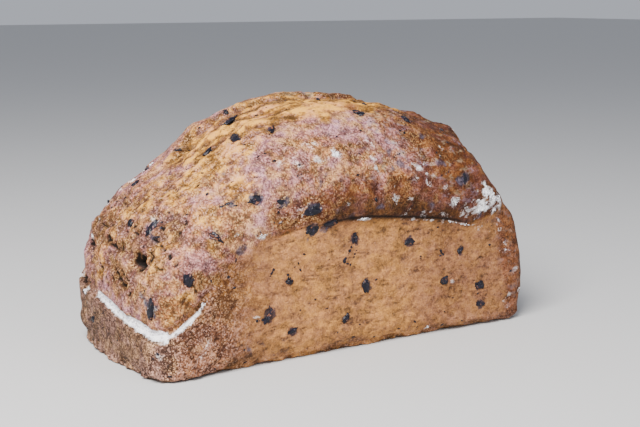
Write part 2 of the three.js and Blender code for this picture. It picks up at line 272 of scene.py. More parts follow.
# %% Large relief
def tear_edges(x):
    """The front and back edges of the torn band, and how open it is, at x."""
    openness = np.maximum(1 - ((x - TEAR_X) / TEAR_HALF) ** 2, 0)
    back_edge = TEAR_BACK + 2.5 * np.sin(x / 6.1) + 2 * np.sin(x / 2.9 + 1)
    front_edge = back_edge + (TEAR_FRONT - TEAR_BACK) * np.sqrt(openness) - 1
    return front_edge, back_edge, openness


def tear(x, y):
    front_edge, back_edge, openness = tear_edges(x)
    ramp = ease(front_edge, back_edge, y) * ease(back_edge + TEAR_STEP, back_edge, y)
    return TEAR_DEPTH * np.minimum(2 * openness, 1) * ramp


def hollows(x, y, z):
    depth = 0
    for cx, cy, cz, radius, deep in HOLLOWS:
        far = ((x - cx) ** 2 + (y - cy) ** 2 + (z - cz) ** 2) / radius**2
        depth += deep * np.exp(-far)
    return depth


def swells(x, y, z):
    wide = np.sin(x / 17 + 1.3 * np.sin(z / 23 + y / 31)) * np.sin(y / 13 + z / 19 + 0.7)
    fine = np.sin(x / 8.3 + y / 11 + 2) * np.sin(z / 7.1 - x / 13)
    return (0.9 * wide + 0.45 * fine) * mix(0.4, 1, ease(-10, 15, z - tin_line(x, y)))


def loaf_skin(x, y, z):
    grown_on = ease(35, 65, -x) - ease(96, 104, -x)  # here the dough runs on from the wall
    crease = 1.2 - grown_on + 6 * ease(60, 110, x)
    dough = risen_dough(x, y, z) + split_gap(x, y, z)
    bread = rounded_either(tin_bread(x, y, z), dough, crease)
    relief = tear(x, y) * ease(*TEAR_Z, z) + hollows(x, y, z) + swells(x, y, z)
    return np.maximum(bread + relief * ease(12, 22, z), -z)


# %% [markdown]
# ## A net drawn onto the crust
#
# Each point of a net slides along its own ray, from a core inside the loaf, until the field
# turns positive. A subdivided box would bunch its points in the corners instead. One row
# lies just under the tin line and the next just above it, so the crease stays crisp.

# %% Drawing points onto the crust
CORE_INSET, CORE_LOW, CORE_HIGH = 60.0, 18.0, 62.0
LINE_CLEARANCE = 0.7


def first_skin(field, start, step):
    """The points where the field turns positive, on the way from start along step."""
    near = np.zeros(len(step))
    far = np.full(len(step), 1.6)
    for _ in range(20):
        halfway = (near + far) / 2
        x, y, z = (start + step * halfway[:, None]).T
        inside = field(x, y, z) < 0
        near = np.where(inside, halfway, near)
        far = np.where(inside, far, halfway)
    return start + step * ((near + far) / 2)[:, None]


def skin_towards(u, v, z, field=loaf_skin):
    """The crust towards the side (u, v) of the loaf's box, at height z."""
    core = np.stack([u * (LENGTH / 2 - CORE_INSET), 0 * u, np.clip(z, CORE_LOW, CORE_HIGH)], 1)
    target = np.stack([u * LENGTH / 2, v * WIDTH / 2, z], 1)
    return first_skin(field, core, target - core)


def net_points(u, v, row, rows, wall_rows):
    """Points of the net at rows 0 to rows, of which wall_rows lie below the tin line."""
    wall = skin_towards(u, v, 0 * u + 40, tin_outline)
    line = tin_line(wall[:, 0], wall[:, 1])
    low = (line - LINE_CLEARANCE) * (np.clip(row / wall_rows, 0, 1)) ** 1.1
    share = np.clip((row - wall_rows - 1) / (rows - wall_rows - 1), 0, 1)
    high = mix(line + LINE_CLEARANCE, HEIGHT, share)
    height = np.where(row <= wall_rows, low, high)
    return skin_towards(u, v, np.where(row == rows, HEIGHT, height))


# %% [markdown]
# The net has four walls that hang from a rim, a lid, and rings under the foot. Numbering
# its corners with index arrays makes all the faces at once, with no loop over points.

# %% The net
ALONG, ACROSS, ROWS, WALL_ROWS = 200, 96, 116, 56
FLOOR_RINGS = [0.96, 0.9, 0.78, 0.6, 0.4, 0.2]

steps_u = np.concatenate([
    np.arange(ALONG), np.full(ACROSS, ALONG), np.arange(ALONG, 0, -1), np.zeros(ACROSS),
])
steps_v = np.concatenate([
    np.zeros(ALONG), np.arange(ACROSS), np.full(ALONG, ACROSS), np.arange(ACROSS, 0, -1),
])
rim_u, rim_v = 2 * steps_u / ALONG - 1, 2 * steps_v / ACROSS - 1
around = len(rim_u)

rows = np.repeat(np.arange(ROWS + 1), around)
walls = net_points(np.tile(rim_u, ROWS + 1), np.tile(rim_v, ROWS + 1), rows, ROWS, WALL_ROWS)
lid_u, lid_v = np.meshgrid(np.arange(1, ALONG), np.arange(1, ACROSS), indexing="ij")
lid_u, lid_v = 2 * lid_u.ravel() / ALONG - 1, 2 * lid_v.ravel() / ACROSS - 1
lid = skin_towards(lid_u, lid_v, np.full(len(lid_u), HEIGHT))
floor_rings = [
    np.stack([ring * rim_u * LENGTH / 2 * 0.96, ring * rim_v * WIDTH / 2 * 0.92, 0 * rim_u], 1)
    for ring in FLOOR_RINGS
]
crust_points = np.concatenate([walls, lid, *floor_rings, np.zeros((1, 3))])

# %% Faces of the net
def ring_of(first):
    return first + np.arange(around)


def band(lower, upper):
    """The four-sided faces between two rings of points, facing out."""
    return np.stack([lower, np.roll(lower, -1), np.roll(upper, -1), upper], 1)


first_lid = len(walls)
first_floor = first_lid + len(lid)
centre = len(crust_points) - 1

table = np.empty((ALONG + 1, ACROSS + 1), int)
table[1:-1, 1:-1] = first_lid + np.arange(len(lid)).reshape(ALONG - 1, ACROSS - 1)
table[steps_u.astype(int), steps_v.astype(int)] = ring_of(ROWS * around)
lid_faces = np.stack([table[:-1, :-1], table[1:, :-1], table[1:, 1:], table[:-1, 1:]], -1)

wall_faces = [band(ring_of(k * around), ring_of((k + 1) * around)) for k in range(ROWS)]
floors = [ring_of(first_floor + k * around) for k in range(len(FLOOR_RINGS))]
floor_faces = [band(inner, outer) for inner, outer in zip(floors, [ring_of(0), *floors])]
quads = np.concatenate([*wall_faces, lid_faces.reshape(-1, 4), *floor_faces])
fan = np.stack([np.roll(floors[-1], -1), floors[-1], np.full(around, centre)], 1)
print("faces of the crust:", len(quads) + len(fan))

# %% [markdown]
# ## Where a pixel falls
#
# A burst bubble or a patch of flour is noted by its pixel and then sits on the crust: its
# ray leaves the eye and stops at the first bread.

# %% Pixels to places
def crust_at(pixels):
    """The points of the crust that the picture shows at these pixels, in mm."""
    across, down = np.array(pixels, float).T
    ray = (across[:, None] - PICTURE[0] / 2) / FOCAL * right - back
    ray -= (down[:, None] - PICTURE[1] / 2) / FOCAL * above
    depths = np.arange(DISTANCE - 210, DISTANCE + 210, 0.5)
    places = eye + ray[:, None, :] * depths[:, None]
    inside = loaf_skin(*places.reshape(-1, 3).T).reshape(len(ray), -1)
    first = np.where((inside < 0).any(1), (inside < 0).argmax(1), inside.argmin(1))
    return places[np.arange(len(ray)), first]


print("the low point of the split:", crust_at([(158, 343)]).round(1))

# %% [markdown]
# ## Noise
#
# No two wrinkles of a crust are alike. Noise gives a smooth random number at every place,
# the same on each run, and stretched coordinates turn its spots into streaks.

# %% Noise
def cell_number(cells, seed):
    """A repeatable number from -1 to 1 for each whole-numbered cell."""
    i, j, k = cells.T
    n = (i * 73856093) ^ (j * 19349663) ^ (k * 83492791) ^ (seed * 15485863)
    n = ((n ^ (n >> 11)) * 668265263) & 0x7FFFFFFF
    n = ((n ^ (n >> 15)) * 374761393) & 0x7FFFFFFF
    return ((n >> 7) & 0xFFFF) / 0x7FFF - 1


def noise(places, size, seed):
    """Smooth noise from -1 to 1 whose spots are about size mm across."""
    scaled = places / size
    cell = np.floor(scaled).astype(np.int64)
    t = scaled - cell
    t = t * t * (3 - 2 * t)
    total = 0
    for corner in np.ndindex(2, 2, 2):
        weight = np.prod(np.where(corner, t, 1 - t), axis=1)
        total += weight * cell_number(cell + corner, seed)
    return total
# %% [markdown]
# ## Zones of the crust
#
# The tin gives smooth tan walls, the oven browns the free dough, and torn dough shows the
# golden crumb. Each zone is a mask, a number from 0 to 1 at each point, and the masks serve
# twice: they steer the relief here and the colours of the finish later.

# %% Zones
skin = crust_points.copy()
x, y, z = skin.T
over = z - tin_line(x, y)

free = ease(0, 5, over)  # dough that rose out of the tin
walled = 1 - free
foot = ease(9, 1, z)

front_edge, back_edge, openness = tear_edges(x)
torn_open = ease(0.02, 0.3, openness) * ease(*TEAR_Z, z)
in_band = ease(front_edge - 3, front_edge + 5, y) * ease(back_edge + 3, back_edge - 1, y)
in_band *= torn_open
ear = bell((y - back_edge - 3) / 6) * torn_open  # the raised lip behind the band
torn_end = ease(92, 118, -x) * ease(12, 24, over)
torn_end *= ease(104, 88, z) * ease(-58, -46, y)


def away(place):
    """How far each point of the net lies from a place, in mm."""
    return np.linalg.norm(skin - place, axis=1)


def spots(marks, raggedness=0.0, edge=2):
    """How much each point lies on a mark: rows of (pixel, pixel, radius in mm, strength)."""
    cover = np.zeros(len(skin))
    marks = np.array(marks, float)
    wobble = 1 + raggedness * noise(skin, 3.0, 5)
    for place, (_, _, radius, strength) in zip(crust_at(marks[:, :2]), marks):
        cover = np.maximum(cover, strength * np.exp(-((away(place) / radius * wobble) ** edge)))
    return cover


print("points on free dough:", int((free > 0.5).sum()))
print("points on torn crust:", int((np.maximum(in_band, torn_end) > 0.5).sum()))

# %% [markdown]
# ## Relief
#
# Points move along the crust's own direction, which is the slope of the field. Waves of
# three sizes wrinkle the walls a little and the dough more. The torn band gets strands that
# run along the loaf, because dough tears that way, and the torn end and the ear get crags.
# Crumbs roughen the foot, where the tin's edge was.

# %% Wrinkles and strands
def unit(rows):
    return rows / np.maximum(np.linalg.norm(rows, axis=1, keepdims=True), 1e-6)


def facing(places, step=0.5):
    """The outward direction of the crust at each place."""
    slope = np.empty_like(places)
    for axis in range(3):
        ahead, behind = places.copy(), places.copy()
        ahead[:, axis] += step
        behind[:, axis] -= step
        slope[:, axis] = loaf_skin(*ahead.T) - loaf_skin(*behind.T)
    return unit(slope)


outward = facing(skin)
LENGTHWISE = np.array([2.6, 1.0, 1.0])  # spots stretched along the loaf


def furrows(size, width, seed):
    """Thin winding furrows: 1 along the lines where the noise changes sign, else 0."""
    return bell(noise(skin, size, seed) / width)


def folds(size, seed):
    """Rounded lumps: 1 on top, 0 in the sharp creases where the noise changes sign."""
    return np.sqrt(np.abs(noise(skin, size, seed)))


wall_grain = 0.26 * noise(skin, 5.5, 11) + 0.2 * noise(skin, 2.7, 12)
wall_grain -= 0.35 * furrows(5.0 * LENGTHWISE, 0.12, 24)
lumps = 0.9 * noise(skin, 12.0, 13)
wrinkled = ease(-0.1, 0.3, noise(skin, 24.0, 27))
dough_grain = 0.55 * noise(skin, 5.0, 14) + 0.3 * noise(skin, 2.6, 25)
dough_grain -= 0.9 * wrinkled * furrows(9.0 * LENGTHWISE, 0.1, 26)
strands = noise(skin, 4.4 * np.array([7.0, 1, 1]), 15) + 0.6 * noise(skin, 2.6 * LENGTHWISE, 16)
crags = 3.2 * (folds(12.0, 17) - 0.7) + 1.7 * (folds(5.5, 18) - 0.6) + 0.5 * noise(skin, 2.6, 29)
edge_crumbs = 1.5 * noise(skin, 5.2, 19) + 0.8 * noise(skin, 2.6, 34)

fine_relief = mix(wall_grain, dough_grain, free) + 1.7 * strands * in_band
fine_relief += crags * (1.25 * torn_end + 0.8 * ear) + edge_crumbs * foot
relief = fine_relief + lumps * free
print("relief in mm:", relief.min().round(2), "to", relief.max().round(2))

# %% [markdown]
# The torn end has open bubbles and creases. Both are pits with a ragged rim, and a crease
# is a row of pits so close that they join. Below the scoop the wall has a raised rim.

# %% Bubbles, creases and pits
# Burst bubbles: (pixel, pixel, radius in mm, depth in mm)
BUBBLES = [
    (140, 264, 3.7, 8), (147, 257, 2, 5), (135, 261, 1.6, 3), (134, 226, 1.5, 2), (163, 227, 1.3, 1.8),
    (180, 232, 1.3, 1.8), (186, 222, 1.2, 1.8), (170, 256, 1.6, 2.4), (176, 264, 1.3, 1.8),
    (198, 185, 1.2, 1.6), (186, 151, 2.2, 3.2), (90, 246, 2.2, 4), (91, 254, 2, 3.6),
    (108, 238, 1.8, 3), (114, 244, 1.8, 3), (120, 248, 1.6, 2.6), (101, 270, 1.5, 2.4),
    (112, 279, 1.5, 2.6), (127, 295, 1.5, 2.2), (191, 284, 1.8, 2.4), (170, 140, 1.4, 1.8),
]
# Open creases of the torn dough: (half width in mm, depth in mm, pixels along it)
FISSURES = [
    (1.7, 4.5, [(87, 238), (90, 246), (91, 257)]), (0.9, 2.2, [(107, 237), (113, 245), (119, 249)]),
    (0.7, 1.4, [(124, 252), (130, 257), (136, 262)]), (1.1, 3.4, [(99, 262), (102, 275), (99, 288)]),
    (1.1, 3.2, [(114, 268), (117, 277), (122, 287)]), (0.8, 2, [(150, 238), (160, 241), (166, 236)]),
    (0.7, 1.5, [(146, 276), (156, 268), (168, 271), (184, 282)]),
    (0.7, 1.2, [(184, 282), (187, 294), (181, 306)]), (0.8, 1.6, [(193, 286), (201, 296), (206, 303)]),
    (1.2, 3.2, [(83, 262), (86, 275), (84, 287)]), (0.9, 2.6, [(104, 268), (108, 280), (106, 292)]),
    (0.7, 1.6, [(120, 272), (126, 284), (124, 298)]), (0.7, 1.8, [(152, 247), (160, 245), (165, 250)]),
    (0.6, 0.8, [(438, 255), (446, 252), (453, 256)]),
    (0.6, 0.9, [(474, 262), (484, 255), (491, 251), (496, 255)]),
    (0.7, 1.2, [(400, 229), (409, 231), (420, 230)]), (0.6, 0.8, [(434, 262), (444, 258), (455, 262)]),
    (0.6, 0.7, [(460, 240), (470, 244), (480, 240)]), (0.6, 0.7, [(452, 300), (462, 297), (470, 300)]),
    (0.6, 0.7, [(380, 300), (390, 297), (402, 299)]), (0.6, 0.7, [(330, 262), (340, 258), (350, 262)]),
    (0.8, 2, [(126, 230), (134, 233), (139, 229)]), (0.7, 1.6, [(98, 222), (104, 226), (112, 224)]),
]
# The raised rim: pixels along it, and how wide and high it is in mm
RIM = [(205, 303), (216, 299), (228, 298), (245, 299), (262, 303), (280, 310)]
RIM_RADIUS, RIM_RISE = 7, 1.3


def mark_pit(pits, centre, radius, depth):
    """Deepens the pits round one centre, with a ragged rim."""
    far = away(centre) / radius * rim_wobble
    return np.maximum(pits, depth * np.exp(-(far**3)))


rim_wobble = 1 + 0.45 * noise(skin, 2.4, 28)
bubbles = np.zeros(len(skin))
bubble_marks = np.array(BUBBLES)
for spot, (_, _, radius, depth) in zip(crust_at(bubble_marks[:, :2]), bubble_marks):
    bubbles = mark_pit(bubbles, spot, radius, depth)
for half_width, depth, pixels in FISSURES:
    turns = crust_at(pixels)
    for start, end in zip(turns[:-1], turns[1:]):
        for share in np.linspace(0, 1, int(np.linalg.norm(end - start) / half_width) + 2):
            bubbles = mark_pit(bubbles, mix(start, end, share), half_width, depth)

rim = spots([(*pixel, RIM_RADIUS, RIM_RISE) for pixel in RIM])

PIT_SEED, PITS, PIT_RADII = 7, 420, (0.9, 1.9)
dice = np.random.default_rng(PIT_SEED)
pits = np.zeros(len(skin))
for spot in skin[dice.choice(len(skin), PITS, replace=False)]:
    radius = dice.uniform(*PIT_RADII)
    pits = np.maximum(pits, 0.5 * radius * bell(away(spot) / radius))
pits *= mix(0.5, 1, free)
print("bubbles:", len(BUBBLES), "fissures:", len(FISSURES), "and pits:", PITS)

# %% [markdown]
# ## Pieces of olive
#
# These are the solid loaf's pieces: the largest lie where the picture shows them, and the
# rest are strewn by the same roll of the dice. Each is half sunk into the crust.

# %% Where the olives lie
# (x, y, z on or near the crust, half length, turn)
LARGE_OLIVES = [
    (-63, -65, 30, 5, 1.1), (-49, -65, 49, 3, 0.4), (-3, -65, 69, 4, 1.4), (6, -65, 39, 4, 1.5),
    (38, -65, 62, 4, 0.1), (79, -65, 52, 3.5, 0.6), (96, -65, 27, 4, 2.4), (97, -65, 14, 3.5, 2.9),
    (67, -65, 34, 3.5, 0.3), (-9, -65, 20, 3, 0.8), (-47, -65, 18, 3.5, 0.2), (-33, -66, 78, 5, 0.2),
    (-22, -66, 80, 4, 0.3), (-54, -4, 138, 5, 0.1), (-62, -24, 130, 5, 1.2), (-43, -36, 134, 3.5, 0.9),
    (18, -37, 141, 4, 2.6), (-35, -68, 90, 4.5, 0.2), (-53, -65, 95, 4.5, 2.9), (-68, -61, 98, 4, 0.4),
    (-119, -31, 82, 5, 0.2), (-111, -62, 58, 4.5, 1.1), (-129, -48, 39, 5, 1.5), (78, -69, 99, 4, 1.8),
]
SMALL_OLIVES, SMALL_OLIVE_SIZES, OLIVE_SEED = 36, (3.6, 2.0), 20
STRETCHES = 18  # numbers rolled for the shape of each lump


def rolls(seed):
    """A repeatable series of numbers between 0 and 1."""
    state = seed
    while True:
        state = state * 16807 % 2147483647
        yield state / 2147483647


def towards(u, v, height):
    return skin_towards(np.array([u]), np.array([v]), np.array([height]))[0]


roll = rolls(OLIVE_SEED)
olives = []
for ox, oy, oz, half, turn in LARGE_OLIVES:
    olives.append((towards(ox / (LENGTH / 2), oy / (WIDTH / 2), float(oz)), half, turn))
    for _ in range(STRETCHES):
        next(roll)
while len(olives) < len(LARGE_OLIVES) + SMALL_OLIVES:
    half = mix(*SMALL_OLIVE_SIZES, (len(olives) - len(LARGE_OLIVES)) / SMALL_OLIVES)
    angle = next(roll) * 2 * math.pi
    reach = 1 / max(abs(math.cos(angle)), abs(math.sin(angle)))
    inward = min(1, 1.6 * next(roll))
    height = HEIGHT if inward < 1 else mix(10, HEIGHT, next(roll))
    place = towards(math.cos(angle) * reach * inward, math.sin(angle) * reach * inward, height)
    if all(np.linalg.norm(place - other) > 2 * (size + half) for other, size, _ in olives):
        olives.append((place, half, next(roll) * math.pi))
        for _ in range(STRETCHES):
            next(roll)
print("pieces of olive:", len(olives))

# %% [markdown]
# ## The crust as a mesh
#
# All the relief is added at once, and the bread dips round each olive. Next to the floor the
# relief fades out, so crumbs push the foot sideways there and lift it in places. The result
# is kept inside the solid loaf's box, so the part keeps its true size.

# %% The crust mesh
round_olives = np.zeros(len(skin))
stain = np.zeros(len(skin))
for place, half, _ in olives:
    far = away(place) / half
    round_olives = np.maximum(round_olives, 0.45 * np.exp(-((far - 0.6) ** 2) / 0.12))
    stain = np.maximum(stain, np.exp(-((1.1 * far * rim_wobble) ** 4)))

standing = ease(0.2, 3, z)  # the base stays flat
moved = (relief + rim * walled - bubbles - pits - round_olives) * standing
crust = skin + outward * moved[:, None] + SHIFT
sideways = unit(outward * np.array([1, 1, 0]))
near_floor = bell(z / 2.5) * np.linalg.norm(sideways, axis=1)
crust += sideways * (edge_crumbs * near_floor)[:, None]
lift = 1.2 * np.clip(noise(skin, 4.6, 35), 0, 1) * near_floor
inset = np.array([0.05, 0.05, 0.02])
box_low = np.array(loaf_low) / MM + inset
box_high = np.array(loaf_high) / MM - inset
crust = np.clip(crust, box_low, box_high)
crust[:, 2] = np.where(z <= 0, 0, crust[:, 2]) + lift


def mesh_object(name, points, faces):
    """An object from points in mm and faces of point numbers."""
    mesh = bpy.data.meshes.new(name)
    mesh.from_pydata((np.asarray(points) * MM).tolist(), [], faces)
    mesh.shade_smooth()
    made = bpy.data.objects.new(name, mesh)
    bpy.context.collection.objects.link(made)
    return made


loaf = mesh_object("crust", crust, quads.tolist() + fan.tolist())
print("moved by mm:", moved.min().round(2), "to", moved.max().round(2))

# %% [markdown]
# ## Masks for the finish
#
# Flour lies thick in the split and at the right shoulder, and thin in patches on the dome.
# The crust is brownest on the right of the dome. It is painted darker, as shade, under the roll
# and in the scoop, the crease and the pits. It is palest where it tore late, and pinkish where a
# veil of flour baked on. Crushed olive leaves blue-grey smudges.

# %% Flour in the split
END_STRIP, FRONT_STRIP = 5.2, (1.1, 3.0)  # the widths of the floured strip, in mm
along_front = ease(-50, -58, y)
strip_width = mix(END_STRIP, mix(*FRONT_STRIP, ease(121, 131, -x)), along_front)
in_split = ease(-0.9, 0.3, over) * ease(strip_width + 0.8, strip_width - 0.8, over)
in_split *= ease(99, 104, -x) * ease(27, 17, y)
on_rim = 0.8 * bell((over + 0.4) / 1.1) * ease(-20, 0, x) * ease(100, 85, x) * (y < 0)
on_rim *= mix(0.3, 1, ease(-0.1, 0.2, noise(skin, 5 * LENGTHWISE, 33)))

# %% Patches of flour
# (pixel, pixel, radius in mm, thickness), first on the right shoulder
FLOUR_PATCHES = [
    (486, 193, 6, 1), (492, 200, 6, 1), (482, 206, 6, 1), (498, 199, 5, 1), (494, 211, 4, 0.9),
    (474, 208, 4, 0.8), (464, 210, 4, 0.75), (455, 201, 3.5, 0.9), (504, 250, 3.5, 0.9),
    (503, 242, 3, 0.8), (515, 270, 3, 0.8), (519, 289, 3, 0.9), (479, 229, 2.2, 0.8),
    (489, 172, 3, 0.6), (454, 131, 3, 0.8), (497, 228, 4, 0.6), (508, 296, 4, 0.6),
    # on the dome
    (310, 145, 6, 0.55), (318, 155, 5, 0.6), (334, 153, 3.5, 0.95), (300, 160, 6, 0.5),
    (374, 160, 3, 0.8), (370, 146, 4, 0.55), (420, 167, 4, 0.85), (410, 171, 3, 0.6),
    (348, 203, 2.4, 0.7), (395, 198, 4, 0.6), (411, 199, 3.5, 0.7), (285, 157, 3, 0.6),
    (395, 147, 4, 0.5), (440, 150, 4, 0.5), (261, 237, 2.2, 1), (236, 236, 2, 0.8),
    (430, 183, 5, 0.5), (446, 190, 4, 0.5), (152, 217, 6, 0.5), (300, 213, 5, 0.5),
    # on the walls
    (427, 327, 2, 0.9), (160, 357, 4, 0.55), (204, 354, 3, 0.45), (210, 340, 3, 0.4),
    (292, 331, 2.5, 0.5), (255, 318, 2, 0.6), (80, 275, 2.6, 1), (85, 291, 3.4, 1),
    (150, 308, 5, 0.55), (445, 218, 3, 0.8), (425, 216, 3, 0.7), (405, 215, 3, 0.6),
    (144, 300, 4, 0.5), (452, 282, 2, 0.7),
    # and along the far edge of the nose
    (89, 236, 2.4, 0.9), (97, 218, 2.2, 0.8), (108, 203, 2, 0.8), (121, 190, 2, 0.8),
    (133, 180, 2.2, 0.9), (144, 171, 2.4, 0.9), (152, 164, 2, 0.9), (160, 154, 2, 0.7),
]
patches = 0.84 * spots(FLOUR_PATCHES, 0.8, edge=3)
flour = np.maximum(np.maximum(in_split, on_rim), patches)
print("share of points under flour:", (flour > 0.5).mean().round(3))

# %% Patches of colour
# Rows of (pixel, pixel, radius in mm, strength). Where dough tore late it stays golden
GOLDEN = [
    (215, 158, 20, 1), (178, 188, 18, 0.95), (140, 205, 16, 0.85), (240, 140, 14, 0.9),
    (238, 188, 13, 0.8), (118, 226, 9, 0.7), (152, 266, 6, 1), (100, 262, 8, 0.8), (205, 215, 12, 0.8),
    (160, 240, 10, 0.9), (120, 243, 8, 0.9), (95, 285, 6, 0.6), (186, 300, 7, 0.7), (172, 318, 5, 0.6),
    (212, 245, 7, 0.6), (130, 212, 10, 0.7),
]
# where it is pinkest
PINKEST = [
    (320, 165, 18, 1), (355, 155, 14, 0.9), (290, 196, 11, 0.9), (250, 226, 9, 0.8), (165, 288, 6, 0.9),
    (110, 256, 5, 0.8), (186, 262, 5, 0.6), (228, 240, 8, 0.7), (385, 160, 9, 0.6), (290, 165, 9, 0.6),
]
# where it baked brownest
BROWNEST = [
    (332, 200, 8, 0.8), (352, 194, 10, 1), (374, 190, 10, 1), (398, 188, 11, 1), (422, 186, 11, 1),
    (446, 186, 9, 0.8), (462, 165, 11, 0.8), (440, 138, 11, 0.7), (388, 124, 9, 0.6),
    (350, 108, 7, 0.6), (178, 262, 5, 0.4), (232, 262, 8, 0.5), (92, 228, 6, 0.4),
]
# smudges of crushed olive
SMUDGES = [
    (148, 305, 5, 0.9), (144, 297, 4, 0.7), (152, 314, 3, 0.7), (231, 205, 3.2, 0.9),
    (259, 199, 3.6, 0.7), (284, 204, 3, 0.8), (313, 210, 3.4, 0.9), (321, 182, 3.6, 0.8),
    (400, 164, 3.6, 0.9), (464, 179, 4, 0.9), (421, 137, 3.2, 0.8), (381, 206, 3, 0.8),
    (240, 251, 3.4, 0.8), (309, 231, 3, 0.9), (325, 228, 3.4, 0.9), (262, 232, 2.6, 0.6),
    (224, 175, 2.6, 0.6), (268, 176, 2.4, 0.6), (345, 176, 2.6, 0.6), (372, 176, 2.4, 0.6),
    (388, 152, 2.6, 0.7), (441, 165, 3, 0.7), (452, 152, 2.4, 0.6), (300, 178, 2.4, 0.5),
    (207, 262, 2.6, 0.6), (480, 214, 3.4, 0.8), (492, 222, 2.8, 0.7), (505, 240, 2.8, 0.7),
    (446, 278, 2.8, 0.5), (262, 343, 3, 0.6), (248, 349, 2.6, 0.6), (274, 276, 2.8, 0.5),
    (150, 236, 4, 0.7), (158, 229, 3, 0.6), (172, 214, 2.6, 0.5), (215, 232, 2.6, 0.5),
    (336, 212, 2.4, 0.6), (352, 216, 2.4, 0.6), (432, 205, 3, 0.6), (415, 196, 2.6, 0.6),
]
# and painted shade in the scoop, the recess over the split's front arm
SCOOP_SHADE_MARKS = [(226, 284, 12, 1), (214, 284, 8, 1), (206, 296, 6, 0.9), (246, 290, 8, 0.6)]
golden, pinkest, brownest = (spots(marks, 0.5) for marks in (GOLDEN, PINKEST, BROWNEST))
smudge, scoop = spots(SMUDGES, 0.9), spots(SCOOP_SHADE_MARKS, 0.4)
print("share of points on golden crumb:", (golden > 0.5).mean().round(3))

# %% Dusting, baking, and painted shade in hollows
# Painted shade on the lower dough and under the roll
shade_under_roll = free * ease(112, 86, z) * ease(-80, -30, x)
right_dome = free * ease(15, 65, x) * (1 - 0.6 * in_band)
dusting = free * ease(75, 10, x) * (1 - 0.8 * shade_under_roll)
late = np.maximum(np.maximum(in_band, golden), 0.8 * ear)
dusting *= (1 - 0.8 * late) * (1 - 0.8 * brownest)
dusting = np.maximum(0.85 * dusting, 1.2 * pinkest)
corner = walled * ease(66, 100, -x) * ease(-50, -58, y)
rusty = walled * ease(108, 126, x + 9 * ease(20, 60, z))
smeared = free * ease(-30, 30, x) * (1 - 0.5 * shade_under_roll) * (1 - in_band) + 0.35 * rusty
end_wall = walled * ease(118, 129, -x)
wall_rose = walled * (ease(25, 75, x) + ease(45, 80, -x))
# Painted shade on the roll's underside, just over the crease
crease_shade_band = bell((over - 6) / 7) * ease(-40, -10, x) * ease(100, 75, x)
# Painted shade: a dark line along the crease under the roll
crease_shade_line = bell((over - 1) / 1.6) * ease(-50, -20, x) * ease(100, 70, x)
# Brownest where it baked, plus painted shade under the roll
baked = np.maximum(np.maximum(0.9 * shade_under_roll, right_dome), brownest) + 0.3 * ear
# Browning on the ear, and painted shade over the crease
burnt = crease_shade_band + 0.25 * ear
# Pale specks, partly flour grains and partly painted glints, most on the left
speckled = 0.7 * free * ease(80, 20, x) * (1 - 0.7 * in_band) + 0.6 * corner
speckled += 0.4 * end_wall + 0.4 * foot * walled + 0.15
speckled *= (1 - 0.9 * crease_shade_band) * (1 - 0.8 * brownest)
smeared *= (1 - crease_shade_band) * (1 - 0.6 * brownest)
# Painted shade, darker the deeper a bubble or pit, and along the crease
dark = np.clip(bubbles / 1.8, 0, 1) + 0.4 * np.clip(pits / 0.6, 0, 1) + 0.8 * crease_shade_line
# Painted light from the relief: paler where the crust stands proud, darker in bubbles
raised = 0.5 + 0.35 * fine_relief - 0.3 * bubbles

# %% Masks stored on the crust
masks = {
    "free": free, "torn": late, "flour": flour, "dusting": dusting, "baked": baked,
    "end_wall": end_wall, "corner": corner, "wall_rose": wall_rose, "scoop": scoop,
    "burnt": burnt, "raised": raised, "stain": stain, "speckled": speckled,
    "smudge": smudge, "rusty": rusty, "smeared": smeared, "dark": dark,
}
for name, values in masks.items():
    layer = loaf.data.attributes.new(name, "FLOAT", "POINT")
    layer.data.foreach_set("value", np.clip(values, 0, 1).astype(np.float32))
print("masks:", len(masks))

# %% [markdown]
# ## Writing a finish as sums
#
# A material is a network of nodes. `Wire` wraps one output socket, so that a sum in Python
# such as `1 - mask` adds the Math node for it, and any other node comes from `node`.

# %% A wire between nodes
def feed(sockets, values):
    """Gives each input socket its wire or its fixed value."""
    for name, value in values.items():
        if isinstance(value, Wire):
            value.nodes.id_data.links.new(value.socket, sockets[name])
        else:
            sockets[name].default_value = value


class Wire:
    """One output socket of a material's nodes."""

    def __init__(self, nodes, socket=None):
        self.nodes = nodes
        self.socket = socket

    def node(self, kind, settings=None, values=None, out=0):
        """Adds a node: settings first, then a value or a wire for each input socket."""
        made = self.nodes.new(kind)
        for name, setting in (settings or {}).items():
            if name == "stops":
                self.set_stops(made.color_ramp, setting)
            else:
                setattr(made, name, setting)
        feed(made.inputs, values or {})
        return Wire(self.nodes, made.outputs[out])

    @staticmethod
    def set_stops(ramp, stops):
        while len(ramp.elements) < len(stops):
            ramp.elements.new(0.5)
        for element, (position, colour) in zip(ramp.elements, stops):
            element.position = position
            element.color = (*colour, 1)

    def maths(self, operation, a, b):
        return self.node("ShaderNodeMath", {"operation": operation}, {0: a, 1: b})

    def __add__(self, other):
        return self.maths("ADD", self, other)

    def __sub__(self, other):
        return self.maths("SUBTRACT", self, other)

    def __rsub__(self, other):
        return self.maths("SUBTRACT", other, self)

    def __mul__(self, other):
        return self.maths("MULTIPLY", self, other)

    __radd__ = __add__
    __rmul__ = __mul__

    def eased(self, low, high):
        """0 below low, 1 above high."""
        settings = {"interpolation_type": "SMOOTHSTEP"}
        return self.node("ShaderNodeMapRange", settings, {0: self, 1: low, 2: high, 3: 0.0, 4: 1.0})

    def blend(self, a, b, mode="MIX"):
        """Colour a where this wire is 0, and b where it is 1."""
        settings = {"data_type": "RGBA", "blend_type": mode}
        a = a if isinstance(a, Wire) else (*a, 1)
        b = b if isinstance(b, Wire) else (*b, 1)
        return self.node("ShaderNodeMix", settings, {0: self, 6: a, 7: b}, out=2)


